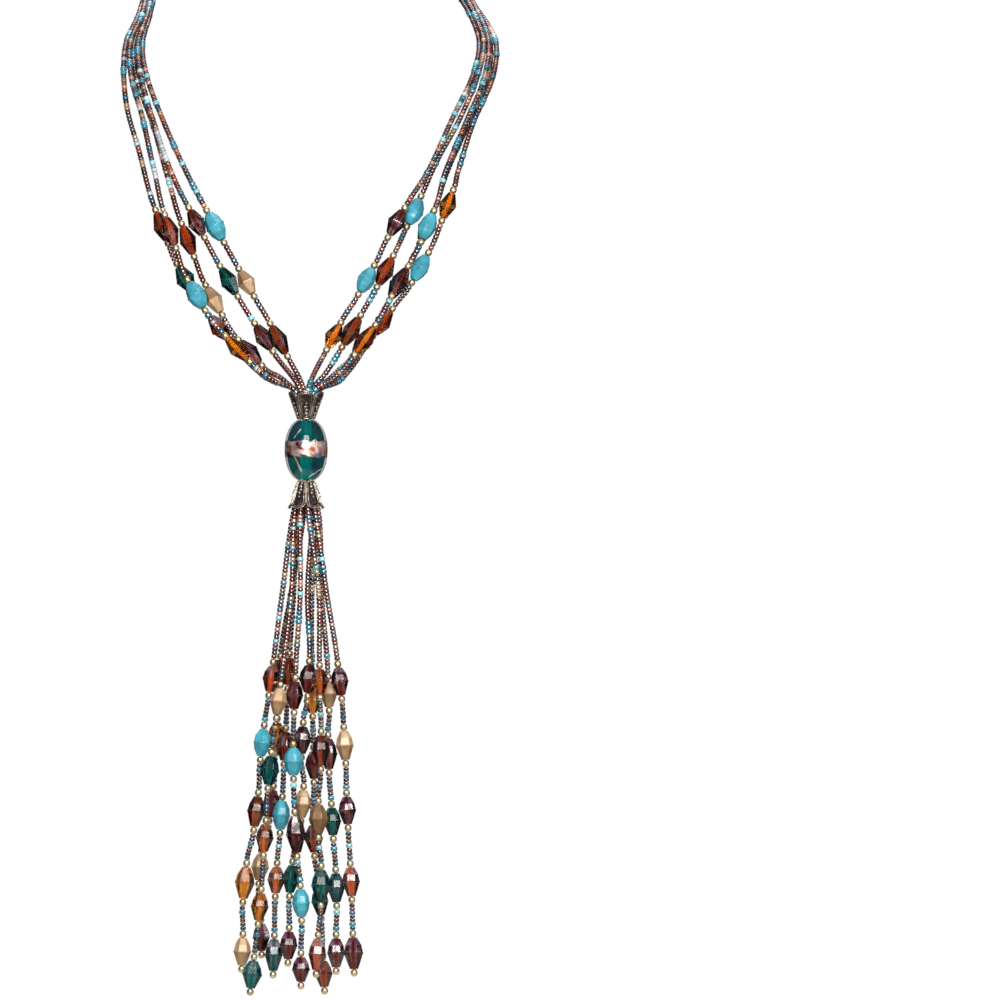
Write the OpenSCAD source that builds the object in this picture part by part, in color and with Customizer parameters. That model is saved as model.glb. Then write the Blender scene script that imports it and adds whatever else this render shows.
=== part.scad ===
// Tassel necklace: ten beaded strings, gathered through two petal caps and one large glass bead.
// Millimetres, +Z up, the wearer faces -Y. The origin is where the necklace rests on the nape.

/* [Large bead] */
// Length of the large bead along the strings
bead_length = 24; // [18:0.5:32]
// Diameter of the large bead at its middle
bead_width = 17.2; // [12:0.2:22]
// Diameter of the flat ends of the large bead
bead_end = 7; // [6.6:0.1:8.6]
// Bore through the large bead
bead_bore = 3.6; // [3.4:0.1:4.4]

/* [Petal caps] */
// Height of each cap from its narrow end to its rim
cap_height = 11.4; // [9:0.2:14]
// Outer diameter at the rim
cap_rim = 14.6; // [14:0.2:19]
// Outer diameter at the narrow end
cap_neck = 6.6; // [6:0.1:6.6]
// Thickness of the cast wall
cap_wall = 0.6; // [0.4:0.05:0.7]
// Number of petals round a cap
petals = 6; // [4:1:8]
// Depth of the notches between the petal tips
notch_depth = 2.4; // [1:0.1:3.4]
// Thickness of the raised wires along the petals
wire_d = 0.6; // [0.3:0.05:0.8]
// Diameter of the raised grains down the middle of a petal
grain_d = 0.8; // [0.4:0.05:1.1]

/* [Glass beads] */
// Usual length of a six-sided glass bead
glass_length = 11; // [8:0.2:13]
// Width across the two outer edges
glass_wide = 8; // [6:0.1:8.6]
// Thickness across the two broad flats
glass_thick = 6; // [4.4:0.1:7]
// Width left at each flat end
glass_tip = 2.8; // [2:0.1:3.6]
// Bore for the thread, in the glass beads and in the brass balls
bore_d = 1; // [0.8:0.05:1.4]

/* [Brass balls] */
// Diameter of the balls beside each glass bead
ball_d = 2.8; // [2.2:0.1:3.4]

/* [Strings] */
// Diameter of the seed beads
seed_d = 1.8; // [1.2:0.05:1.9]
// Diameter of the thread
thread_d = 0.5; // [0.3:0.05:0.6]
// Length of thread that shows beyond the last ball
thread_tail = 0.4; // [0.2:0.1:2]

/* [Clasp] */
// Length of the barrel clasp
clasp_length = 18; // [12:0.5:26]
// Diameter of the barrel clasp
clasp_d = 6; // [4:0.2:8]
// Depth of the holes that take the thread ends
clasp_socket = 4; // [2:0.2:5.5]

/* [Hidden] */
$fn = 48;

// Gap kept between pieces that sit against each other
fit = 0.1;
// Spare room round the strings: in a cap, at its rim, in the large bead, round the collar and in
// the clasp
cap_room = 0.5;
rim_room = 1;
bore_room = 0.3;
collar_room = 0.3;
socket_room = 0.4;
// Bare thread between the clasp and the first seed bead
clasp_thread = 1;
// Sides of a string, and strings on each side of the neck
sides = 8;
per_side = 5;
strings = 2 * per_side;
// Rings of a string up to its next knot: over a run longer than this, after a glass bead, and
// after a bend
long_run = 45;
long_rings = 8;
bead_rings = 3;
bend_rings = 2;

// Where the neck strings end: the rim of the upper cap, on the axis of the drop
drop = [0.5, -128, -184.5];
bead_top = drop[2] - cap_height - fit;
bead_bottom = bead_top - bead_length;
lower_rim = bead_bottom - fit - cap_height;

// How far in front of the nape the chest carries the strings, by height: [z, y]
CHEST = [[-240, -128], [-184, -127], [-165, -123], [-140, -117], [-115, -111], [-95, -105],
    [-75, -97], [-60, -90], [-50, -83], [-40, -74], [-28, -60]];

// From the clasp round the neck, the same on both sides but mirrored: [x, y, z]
COLLAR = [[16, 3, 0], [33, -4, -3], [47, -17, -9], [56.5, -34, -16], [62.5, -52, -24]];

// One row for each string, from the side of the neck to the upper cap. A bend is
// [x, z, back] with back the distance behind the front strings. A glass bead between two
// balls is [x, z, back, turn, share]: its turn from lying flat and its share of glass_length.
NECK = [
    [[-67.6, -34, 1.4], [-72.2, -45, 1.4], [-73, -56, 2], [-71.5, -71, 4], [-67, -87, 6],
        [-57.5, -118.5, 7, 30, 1.05], [-48, -139.5, 9, 10, 1], [-34.5, -159, 13, 20, 1],
        [-14, -180, 3.5]],
    [[-66.2, -34, -0.6], [-70.5, -45, 0], [-70, -58, 0], [-65.5, -74, 0], [-60.5, -96, 0],
        [-54, -120.5, 0, 60, 1.05], [-43.5, -146, 0, 10, 1.05], [-27, -167.5, 0, 40, 1.05],
        [-12.2, -180.5, -2]],
    [[-65.4, -34, 2.9], [-69, -45, 2.3], [-68, -58, 3], [-61, -78, 5], [-54.5, -101, 5],
        [-47, -124, 5, 70, 1.05], [-36.5, -148, 5, 60, 1], [-22, -169, 5, 60, 1.05],
        [-8.5, -180, 1]],
    [[-64, -34, -0.4], [-67.3, -45, 0.2], [-66, -58, 0.5], [-60, -79, 1.5], [-52.5, -99.5, 1],
        [-43.5, -117, 0, 60, 1], [-30.5, -140.5, 0, 30, 1.05], [-16.5, -163, -1, 60, 1]],
    [[-62.9, -34, 2.7], [-65.6, -45, 2.2], [-63.7, -58, 2.5], [-57, -76, 3], [-47, -98, 3],
        [-36, -118.5, 3, 10, 1.1], [-23.5, -141, 3, 50, 0.9], [-10.5, -164, 4, 60, 1.1]],
    [[67.4, -36, 2], [69.7, -45, 2], [67, -58, 2], [59, -75, 0.4], [48.8, -97, 0],
        [36.5, -117, -1, 60, 1], [24.5, -140, 0, 60, 0.95], [11.5, -162.5, 0, 30, 0.9]],
    [[69, -36, -0.6], [71.5, -45, -0.2], [69, -58, 0], [61.5, -76, 2.2], [52.3, -93, 3],
        [43.5, -112.5, 5, 10, 1], [32, -136.5, 3, 50, 1.05], [18.5, -160.5, 4, 50, 1.1],
        [8.5, -177, 3.7]],
    [[71, -36, -0.4], [73.5, -45, 0], [71.3, -60, 0.5], [64.2, -77, 0.8], [56, -97, 0],
        [49, -118.5, 0, 50, 1], [38, -140.5, 0, 50, 1], [24, -164, -1, 30, 1.1],
        [11.5, -179.5, -3]],
    [[69.7, -36, 3.2], [74, -45, 3], [73, -58, 3], [65.3, -77, 6], [56.6, -97, 9],
        [48.5, -119, 11, 60, 1], [37, -142, 12, 60, 1], [23, -165, 12, 50, 1],
        [11, -178.5, 5.5]],
    [[72.4, -36, 2.4], [76.4, -45, 1.2], [75.2, -58, 2], [67.2, -77, 3.5], [61, -97, 5],
        [57, -110, 5, 30, 0.95], [46, -135, 6, 40, 1], [31, -157, 7, 40, 1],
        [13.5, -180.5, 1]],
];

// One row for each string below the lower cap: a bend [x, z, back], then glass beads
// [x, z, back, turn, share], with x and back from the axis of the drop and z from the rim
// of the lower cap.
TASSEL = [
    [[-5, -33.5, 4.5], [-7, -65, 4, 40, 1], [-8.5, -95, 4, 20, 1.05], [-10, -122.5, 4, 60, 1.05],
        [-12, -148.5, 4, 50, 0.95], [-13, -178.5, 4, 60, 1.15]],
    [[-5.8, -33.5, -6.5], [-11, -77, -12, 70, 0.95], [-14.5, -104.5, -12, 10, 1.05],
        [-16.5, -131.5, -12, 60, 1], [-18.5, -159, -12, 60, 1], [-21.5, -186, -11, 0, 1]],
    [[-9.5, -33.5, -1], [-14, -68, -4, 40, 0.95], [-17.5, -93.5, -4, 30, 1], [-20, -121, -4, 60, 1.1],
        [-24.5, -149.5, -4, 0, 1.15], [-25.5, -177, -3, 60, 1]],
    [[-2.3, -33.5, -8.5], [-4.5, -74.5, -12, 70, 1], [-5, -101, -12, 10, 1], [-4, -130, -12, 0, 1.35],
        [-2, -157.5, -12, 60, 1], [-2, -184, -12, 60, 0.9]],
    [[-6.1, -33.5, 9], [-11, -66, 12, 20, 1], [-12, -91, 12, 40, 1], [-14, -118, 12, 30, 1],
        [-18.5, -143.5, 12, 60, 0.95], [-18, -171.5, 11, 30, 1]],
    [[5.1, -33.5, -9], [5.5, -69, -12, 20, 0.9], [6, -96.5, -12, 60, 1.1], [5, -124, -12, 10, 1.05],
        [6, -150.5, -12, 0, 1.15], [4.5, -178, -12, 60, 1.15]],
    [[0.5, -33.5, 1], [1, -68, -4, 0, 1], [-1.5, -92.5, -4, 50, 1], [-1.5, -118, -4, 50, 1],
        [-6, -148, -4, 40, 1], [-7, -174.5, -4, 60, 1]],
    [[8.2, -33.5, -7.5], [13.5, -69, -12, 60, 1], [15.5, -94.5, -12, 60, 1.05], [16.5, -120.5, -12, 50, 1],
        [18, -149, -12, 60, 1.05], [19, -177.5, -12, 10, 1.15]],
    [[2.3, -33.5, 3.5], [2.5, -77, 4, 60, 0.85], [3, -102.5, 4, 30, 1], [3, -132, 4, 20, 1],
        [5.5, -157, 4, 30, 1], [7, -186, 3, 60, 0.95]],
    [[6.1, -33.5, -1.5], [9, -74, -4, 60, 0.95], [9, -98, -4, 60, 1.1], [10.5, -125, -4, 50, 1],
        [12, -151.5, -4, 50, 1.05], [12, -177.5, -4, 60, 1.05]],
];

// Place of each string in the ring inside the caps, counted from +X towards the front
SLOT = [6, 4, 5, 3, 7, 2, 8, 1, 9, 0];
// Turn of that ring, so that no string hides straight behind another from the front
ring_turn = 9;
// Place of each string in the bundle of its side at the nape
BUNDLE = [0, 1, 4, 2, 3, 0, 1, 2, 4, 3];

function unit(v) = v / norm(v);

// +1 or -1, the side of the neck on which string k lies
function side_of(k) = k < per_side ? -1 : 1;

// Centre of string k in a ring of radius r round the axis of the drop
function in_ring(k, r, z) =
    let (a = 360 / strings * SLOT[k] + ring_turn)
    [drop[0] + r * cos(a), drop[1] - r * sin(a), z];

// Smallest ring radius at which n round strings of diameter d stay clear of each other
function ring_radius(n, d) = (d + fit) / 2 / sin(180 / n);

// Inside radius of a cap at height h above its narrow end
function cap_inside(h) = (cap_neck + (cap_rim - cap_neck) * h / cap_height) / 2 - cap_wall;

// Centre of string k in its bundle round the collar point c, which heads along t
function in_bundle(k, c, t, r) =
    let (
        a = 360 / per_side * BUNDLE[k],
        across = unit(cross(t, [0, 0, 1])),
        up = cross(across, t))
    c + r * (cos(a) * across + sin(a) * up);

// Inside the caps the seed beads stop where the cone gets too narrow for them
seed_ring = ring_radius(strings, seed_d);
seed_stop = min(cap_height - 1, cap_height * (seed_ring + seed_d / 2 + cap_wall + cap_room
    - cap_neck / 2) / ((cap_rim - cap_neck) / 2));
rim_ring = cap_inside(cap_height) - seed_d / 2 - rim_room;
thread_ring = (bead_bore - thread_d) / 2 - bore_room;

collar_ring = ring_radius(per_side, seed_d + collar_room);
socket_bore = 2 * ring_radius(per_side, thread_d) + thread_d + socket_room;
clasp_axis = [0, clasp_d / 2, 0];

// Half of the straight run through a ball, a glass bead and a ball
function glass_half(share) = glass_length * share / 2;
function run_half(share) = glass_half(share) + ball_d + 2 * fit;

// Stations of string k: [place, half of the straight run, share, turn, thin after it]
function mirrored(k, c) = [side_of(k) * c[0], c[1], c[2]];
function collar_way(i) = i == 0 ? [1, 0, 0]
    : unit(COLLAR[i] - COLLAR[i - 1] + (i < len(COLLAR) - 1 ? COLLAR[i + 1] - COLLAR[i] : [0, 0, 0]));
function bend(p, thin) = [p, 0, 0, 0, thin];
function bead(p, row) = [p, run_half(row[4]), row[4], row[3], false];
function neck_place(row) = [row[0], lookup(row[1], CHEST) + row[2], row[1]];
function tassel_place(row) = [drop[0] + row[0], drop[1] + row[2], lower_rim + row[1]];
function stations(k) = concat(
    [for (x = [clasp_length / 2 - clasp_socket + fit, clasp_length / 2 + clasp_thread])
        bend(in_bundle(k, clasp_axis + [side_of(k) * x, 0, 0], [side_of(k), 0, 0],
            ring_radius(per_side, thread_d)), true)],
    [for (i = [0 : len(COLLAR) - 1])
        bend(in_bundle(k, mirrored(k, COLLAR[i]), mirrored(k, collar_way(i)), collar_ring), false)],
    [for (row = NECK[k]) len(row) == 3 ? bend(neck_place(row), false) : bead(neck_place(row), row)],
    [
        bend(in_ring(k, rim_ring, drop[2]), false),
        bend(in_ring(k, seed_ring, bead_top + fit + seed_stop), true),
        bend(in_ring(k, thread_ring, bead_top), true),
        bend(in_ring(k, thread_ring, bead_bottom), true),
        bend(in_ring(k, seed_ring, bead_bottom - fit - seed_stop), false),
        bend(in_ring(k, rim_ring, lower_rim), false),
    ],
    [for (row = TASSEL[k])
        len(row) == 3 ? bend(tassel_place(row), false) : bead(tassel_place(row), row)]);

// Direction of the string at station i: straight ahead at both ends, else between neighbours
function heading(s, i) =
    i == 0 ? unit(s[1][0] - s[0][0])
    : i == len(s) - 1 ? unit(s[i][0] - s[i - 1][0])
    : unit(unit(s[i + 1][0] - s[i][0]) + unit(s[i][0] - s[i - 1][0]));

// Knots of the swept tube: [place, direction, radius after it, rings to the next knot]
function knots(s) = [for (i = [0 : len(s) - 1])
    let (
        t = heading(s, i),
        h = s[i][1],
        last = i == len(s) - 1,
        far = !last && norm(s[i + 1][0] - s[i][0]) > long_run,
        rings = last ? 0 : far ? long_rings : h > 0 ? bead_rings
            : s[i][4] || s[i + 1][4] ? 1 : bend_rings)
    each h == 0
        ? [[s[i][0], t, s[i][4] ? thread_d / 2 : seed_d / 2, rings]]
        : [
            [s[i][0] - h * t, t, thread_d / 2, 1],
            [s[i][0] + (last ? h + thread_tail : h) * t, t, last ? thread_d / 2 : seed_d / 2, rings],
        ]];

// Point and direction on the smooth curve from knot a to knot b at share u
function curve_point(a, b, u) =
    let (m = norm(b[0] - a[0]))
    (2 * u^3 - 3 * u^2 + 1) * a[0] + (u^3 - 2 * u^2 + u) * m * a[1]
    + (3 * u^2 - 2 * u^3) * b[0] + (u^3 - u^2) * m * b[1];
function curve_way(a, b, u) = unit(curve_point(a, b, u + 0.01) - curve_point(a, b, u - 0.01));

// Rings of the swept tube: [place, direction, radius], two where the radius steps
function tube_rings(n) = [for (i = [0 : len(n) - 1])
    each concat(
        i > 0 && n[i - 1][2] != n[i][2] ? [[n[i][0], n[i][1], n[i - 1][2]]] : [],
        [[n[i][0], n[i][1], n[i][2]]],
        [for (j = [1 : 1 : n[i][3] - 1])
            [curve_point(n[i], n[i + 1], j / n[i][3]), curve_way(n[i], n[i + 1], j / n[i][3]), n[i][2]]])];

function ring_points(ring, lean) =
    let (across = unit(cross(ring[1], lean)), up = cross(across, ring[1]))
    [for (a = [0 : 360 / sides : 359]) ring[0] + ring[2] * (cos(a) * across + sin(a) * up)];

// One string: its thread, as thick as the seed beads wherever it carries them
module string_tube(k) {
    rings = tube_rings(knots(stations(k)));
    lean = unit([-side_of(k) * 0.5, -0.6, 0.6]);
    count = len(rings);
    polyhedron(
        points = [for (ring = rings) each ring_points(ring, lean)],
        faces = concat(
            [[for (j = [sides - 1 : -1 : 0]) j]],
            [for (i = [0 : count - 2], j = [0 : sides - 1])
                let (a = i * sides + j, b = i * sides + (j + 1) % sides)
                each [[a, b, b + sides], [a, b + sides, a + sides]]],
            [[for (j = [0 : sides - 1]) (count - 1) * sides + j]]));
}

// Stands its children on the string at station s, along direction t, with X in the picture
module on_string(s, t) {
    across = unit(cross(t, [0, 1, 0]));
    out = cross(t, across);
    multmatrix([
        [across[0], out[0], t[0], s[0][0]],
        [across[1], out[1], t[1], s[0][1]],
        [across[2], out[2], t[2], s[0][2]],
        [0, 0, 0, 1],
    ]) rotate(s[3]) children();
}

// Profile of a glass bead between two of its opposite facets, pushed right through it
module facet_pair(turn, middle, tip, length) {
    rotate(turn) rotate([90, 0, 0])
        linear_extrude(2 * glass_wide, center = true)
            polygon([[-tip, -length], [tip, -length], [middle, 0], [tip, length],
                [-tip, length], [-middle, 0]]);
}

// Long six-sided bead, widest at its middle, with flat ends and a round bore
module glass_bead(share) {
    length = glass_half(share);
    lean = 35;
    difference() {
        intersection() {
            facet_pair(90, glass_thick / 2, glass_tip / 2, length);
            facet_pair(lean, glass_wide / 2 * cos(lean), glass_tip / 2, length);
            facet_pair(-lean, glass_wide / 2 * cos(lean), glass_tip / 2, length);
        }
        cylinder(h = 3 * length, d = bore_d, center = true);
    }
}

module glass_string(k) {
    s = stations(k);
    for (i = [0 : len(s) - 1]) {
        if (s[i][1] > 0) {
            on_string(s[i], heading(s, i)) glass_bead(s[i][2]);
        }
    }
}

module ball_string(k) {
    s = stations(k);
    for (i = [0 : len(s) - 1]) {
        if (s[i][1] > 0) {
            on_string(s[i], heading(s, i))
                for (end = [-1, 1])
                    translate([0, 0, end * (glass_half(s[i][2]) + fit + ball_d / 2)])
                        difference() {
                            sphere(d = ball_d);
                            cylinder(h = 2 * ball_d, d = bore_d, center = true);
                        }
        }
    }
}

module string(k) {
    color("saddlebrown") string_tube(k - 1);
}

module glass_beads(k) {
    color("teal") glass_string(k - 1);
}

module brass_balls(k) {
    color("gold") ball_string(k - 1);
}

// Plumpness of the large bead: 2 is an ellipse, more is squarer
plump = 2.2;

module center_bead() {
    half = bead_length / 2;
    pole = half / pow(1 - pow(bead_end / bead_width, plump), 1 / plump);
    steps = 24;
    color("darkcyan")
        translate([drop[0], drop[1], bead_top - half])
            rotate_extrude()
                polygon(concat(
                    [[bead_bore / 2, half], [bead_bore / 2, -half]],
                    [for (i = [0 : steps])
                        let (z = -half + bead_length * i / steps)
                        [bead_width / 2 * pow(1 - pow(abs(z) / pole, plump), 1 / plump), z]]));
}

// Stands its children on the cap's outer face: X outward, Z up the slant from the narrow end
module on_slant(angle, tilt) {
    rotate(angle) translate([cap_neck / 2, 0, 0]) rotate([0, tilt, 0]) children();
}

// Cap with its narrow end at z = 0 and its rim up; a notch between two petals is at angle 0
module petal_cap() {
    tilt = atan((cap_rim - cap_neck) / 2 / cap_height);
    slant = cap_height / cos(tilt);
    petal_angle = 360 / petals;
    border = petal_angle * 0.4;
    grains = 4;
    grain_step = slant / (grains + 1.2);
    grain_taper = 0.1;
    bite = cap_wall / 2;
    start = 0.6;
    notch_w = 3.2;
    difference() {
        rotate_extrude()
            polygon([
                [cap_neck / 2 - cap_wall, 0], [cap_neck / 2, 0],
                [cap_rim / 2, cap_height], [cap_rim / 2 - cap_wall, cap_height],
            ]);
        for (i = [0 : petals - 1]) {
            rotate(i * petal_angle)
                translate([0, 0, cap_height])
                    rotate([0, 90, 0])
                        linear_extrude(cap_rim)
                            polygon([[-1, -notch_w / 2], [-1, notch_w / 2],
                                [notch_depth * 0.7, notch_w * 0.15], [notch_depth, 0],
                                [notch_depth * 0.7, -notch_w * 0.15]]);
        }
    }
    for (i = [0 : petals - 1]) {
        for (edge = [-1, 1]) {
            on_slant((i + 0.5) * petal_angle + edge * border, tilt)
                translate([-bite, -wire_d / 2, start])
                    cube([bite + wire_d / 2, wire_d, slant - start - notch_depth * 0.7]);
        }
        for (g = [1 : grains]) {
            on_slant((i + 0.5) * petal_angle, tilt)
                translate([-bite, 0, g * grain_step])
                    rotate([0, 90, 0])
                        cylinder(h = bite + grain_d / 2, d = grain_d * (1 - grain_taper * (g - 1)),
                            $fn = 8);
        }
    }
}

module upper_cap() {
    color("dimgray")
        translate([drop[0], drop[1], bead_top + fit]) petal_cap();
}

module lower_cap() {
    color("dimgray")
        translate([drop[0], drop[1], bead_bottom - fit])
            mirror([0, 0, 1])
                rotate(180 / petals) petal_cap();
}

// Plain barrel behind the neck, with a socket at each end for the thread ends
module clasp() {
    color("dimgray")
        translate(clasp_axis)
            rotate([0, 90, 0])
                difference() {
                    cylinder(h = clasp_length, d = clasp_d, center = true);
                    for (end = [-1, 1]) {
                        translate([0, 0, end * clasp_length / 2])
                            cylinder(h = 2 * clasp_socket, d = socket_bore, center = true);
                    }
                }
}

clasp();
upper_cap();
center_bead();
lower_cap();
string(1);  // string_1
string(2);  // string_2
string(3);  // string_3
string(4);  // string_4
string(5);  // string_5
string(6);  // string_6
string(7);  // string_7
string(8);  // string_8
string(9);  // string_9
string(10);  // string_10
glass_beads(1);  // glass_beads_1
glass_beads(2);  // glass_beads_2
glass_beads(3);  // glass_beads_3
glass_beads(4);  // glass_beads_4
glass_beads(5);  // glass_beads_5
glass_beads(6);  // glass_beads_6
glass_beads(7);  // glass_beads_7
glass_beads(8);  // glass_beads_8
glass_beads(9);  // glass_beads_9
glass_beads(10);  // glass_beads_10
brass_balls(1);  // brass_balls_1
brass_balls(2);  // brass_balls_2
brass_balls(3);  // brass_balls_3
brass_balls(4);  // brass_balls_4
brass_balls(5);  // brass_balls_5
brass_balls(6);  // brass_balls_6
brass_balls(7);  // brass_balls_7
brass_balls(8);  // brass_balls_8
brass_balls(9);  // brass_balls_9
brass_balls(10);  // brass_balls_10
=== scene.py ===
import math
import random

import bmesh
import bpy
from mathutils import Euler, Matrix, Vector


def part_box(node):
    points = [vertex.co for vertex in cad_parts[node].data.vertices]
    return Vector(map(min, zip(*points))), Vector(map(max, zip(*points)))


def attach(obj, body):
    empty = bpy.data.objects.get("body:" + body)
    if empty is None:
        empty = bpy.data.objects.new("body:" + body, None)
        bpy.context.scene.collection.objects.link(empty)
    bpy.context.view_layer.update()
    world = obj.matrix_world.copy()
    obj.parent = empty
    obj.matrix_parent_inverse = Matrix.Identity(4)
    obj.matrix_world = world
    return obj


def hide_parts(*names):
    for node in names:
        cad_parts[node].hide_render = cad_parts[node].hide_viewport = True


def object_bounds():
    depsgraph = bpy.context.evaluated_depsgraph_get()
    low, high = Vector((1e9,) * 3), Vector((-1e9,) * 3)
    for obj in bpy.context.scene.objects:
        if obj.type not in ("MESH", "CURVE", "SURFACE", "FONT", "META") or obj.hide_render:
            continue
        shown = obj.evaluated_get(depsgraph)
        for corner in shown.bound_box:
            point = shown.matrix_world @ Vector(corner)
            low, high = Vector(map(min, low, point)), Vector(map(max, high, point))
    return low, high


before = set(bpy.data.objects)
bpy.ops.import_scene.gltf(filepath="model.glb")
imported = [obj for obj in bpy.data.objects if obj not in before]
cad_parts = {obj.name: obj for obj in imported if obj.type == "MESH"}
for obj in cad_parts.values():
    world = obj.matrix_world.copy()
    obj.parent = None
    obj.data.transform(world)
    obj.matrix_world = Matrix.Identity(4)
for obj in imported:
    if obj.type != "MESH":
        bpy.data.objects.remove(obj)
cad_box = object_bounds()


# Setting: the necklace hangs in the air over a pale floor, as it does when worn. The surround is
# white where the camera sees it and dim where it lights, with a large soft lamp in front. The
# camera looks straight along +Y from so far back that near and far strings keep one size.
class Wire:
    """One output socket of a node tree. Maths on it adds the nodes that work it out."""

    def __init__(self, tree, socket):
        self.tree = tree
        self.socket = socket

    def feed(self, target, value):
        if isinstance(value, Wire):
            self.tree.links.new(value.socket, target)
        elif hasattr(target.default_value, "__len__") and not hasattr(value, "__len__"):
            target.default_value = [value] * len(target.default_value)
        elif hasattr(value, "__len__") and len(target.default_value) == 4 and len(value) == 3:
            target.default_value = (*value, 1)
        else:
            target.default_value = value

    def node(self, kind, settings=None, output=0, **values):
        """Any other node; i0, i1 and so on name its sockets by number, other words by name."""
        made = self.tree.nodes.new("ShaderNode" + kind)
        for key, value in (settings or {}).items():
            if key == "stops":
                ramp = made.color_ramp
                while len(ramp.elements) < len(value):
                    ramp.elements.new(0.5)
                for element, (place, colour) in zip(ramp.elements, value):
                    element.position = place
                    element.color = (*colour, 1) if len(colour) == 3 else colour
            else:
                setattr(made, key, value)
        for key, value in values.items():
            by_number = key[0] == "i" and key[1:].isdigit()
            self.feed(made.inputs[int(key[1:]) if by_number else key.replace("_", " ")], value)
        return Wire(self.tree, made.outputs[output])

    def maths(self, operation, *values):
        slots = {f"i{n}": value for n, value in enumerate(values)}
        return self.node("Math", {"operation": operation}, **slots)

    def __add__(self, other):
        return self.maths("ADD", self, other)

    __radd__ = __add__

    def __sub__(self, other):
        return self.maths("SUBTRACT", self, other)

    def __rsub__(self, other):
        return self.maths("SUBTRACT", other, self)

    def __mul__(self, other):
        return self.maths("MULTIPLY", self, other)

    __rmul__ = __mul__

    def __truediv__(self, other):
        return self.maths("DIVIDE", self, other)

    def __pow__(self, other):
        return self.maths("POWER", self, other)

    def larger(self, other):
        return self.maths("MAXIMUM", self, other)

    def band(self, low, high):
        """0 below low, 1 above high, smooth between."""
        return self.node("MapRange", {"interpolation_type": "SMOOTHSTEP"}, Value=self,
                         From_Min=low, From_Max=high)

    def pick(self, first, second):
        """Colour first where this is 0 and second where it is 1."""
        return self.node("Mix", {"data_type": "RGBA"}, 2, i0=self, i6=first, i7=second)

    def vector_maths(self, operation, other):
        return self.node("VectorMath", {"operation": operation}, i0=self, i1=other)


def placed(name, data):
    """A new object in the scene that holds this data."""
    made = bpy.data.objects.new(name, data)
    bpy.context.scene.collection.objects.link(made)
    return made


def area_light(name, place, aim, width, height, power, tint=(1, 1, 1)):
    data = bpy.data.lights.new(name, "AREA")
    data.shape = "RECTANGLE"
    data.size, data.size_y = width, height
    data.energy = power
    data.color = tint
    lamp = placed(name, data)
    lamp.location = place
    lamp.rotation_euler = (Vector(aim) - Vector(place)).to_track_quat("-Z", "Y").to_euler()


picture_width = 0.4
picture_middle = Vector((0.078, -0.12, -0.228))
camera_distance = 12.0
camera_data = bpy.data.cameras.new("camera")
camera_data.sensor_width = 36
camera_data.lens = camera_data.sensor_width * camera_distance / picture_width
camera = placed("camera", camera_data)
camera.location = picture_middle - Vector((0, camera_distance, 0))
camera.rotation_euler = (math.radians(90), 0, 0)
bpy.context.scene.camera = camera
bpy.context.scene.view_settings.view_transform = "Standard"

necklace_middle = (0, -0.1, -0.22)
area_light("key", (0.02, -1.5, 0.25), necklace_middle, 0.75, 0.75, 26, (1, 0.98, 0.95))
area_light("fill", (1.2, -1.0, 0.0), necklace_middle, 0.25, 0.6, 4, (0.93, 0.97, 1))
area_light("top", (0.1, 0.3, 1.0), (0, -0.1, -0.2), 1.0, 0.8, 8)

world = bpy.data.worlds.new("studio")
bpy.context.scene.world = world
world.use_nodes = True
world.node_tree.nodes.clear()
around = Wire(world.node_tree, world.node_tree.nodes.new("ShaderNodeTexCoord").outputs["Generated"])
upward = around.node("SeparateXYZ", {}, "Z", Vector=around)
onward = around.node("SeparateXYZ", {}, "Y", Vector=around)
dim = upward.node("ValToRGB", {"stops": [
    (0.0, (0.34, 0.33, 0.32)), (0.42, (0.13, 0.13, 0.13)), (0.58, (0.16, 0.16, 0.17)),
    (1.0, (0.95, 0.95, 0.95))]}, Fac=upward * 0.5 + 0.5)
# Mirrored or seen through glass the surround is dimmer still, so that edges stay dark, but a
# clear bead shows a paler patch of it straight behind.
mirror_loss, glass_loss, backdrop_tone = 0.75, 0.45, (0.52, 0.52, 0.52)
mirrored = dim.node("LightPath", output="Is Glossy Ray")
through_glass = dim.node("LightPath", output="Is Transmission Ray")
dim = (mirrored * mirror_loss + through_glass * glass_loss).pick(dim, (0, 0, 0))
backdrop = (onward * onward).band(0.78, 0.95) * through_glass
dim = backdrop.pick(dim, backdrop_tone)
lit = dim.node("Background", Color=dim, Strength=1.0)
seen = dim.node("Background", Color=(1, 1, 1), Strength=1.0)
to_camera = dim.node("LightPath", output="Is Camera Ray")
surround = to_camera.node("MixShader", i0=to_camera, i1=lit, i2=seen)
surround.feed(world.node_tree.nodes.new("ShaderNodeOutputWorld").inputs["Surface"], surround)


def dress(place, **values):
    """Feeds the sockets of the material's shader with wires, numbers or colours."""
    shader = place.tree.nodes["Principled BSDF"]
    for key, value in values.items():
        place.feed(shader.inputs[key.replace("_", " ")], value)


def finish_of(name, **constants):
    """A new material: the wire to build its nodes from, and the material."""
    material = bpy.data.materials.new(name)
    material.use_nodes = True
    tree = material.node_tree
    place = Wire(tree, tree.nodes.new("ShaderNodeTexCoord").outputs["Object"])
    dress(place, **constants)
    return place, material


def noise(place, scale, detail=2.0):
    return place.node("TexNoise", Vector=place, Scale=scale, Detail=detail)


def mesh_of(bm, name):
    """Turns a finished bmesh into mesh data."""
    mesh = bpy.data.meshes.new(name)
    bm.to_mesh(mesh)
    bm.free()
    return mesh


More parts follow.
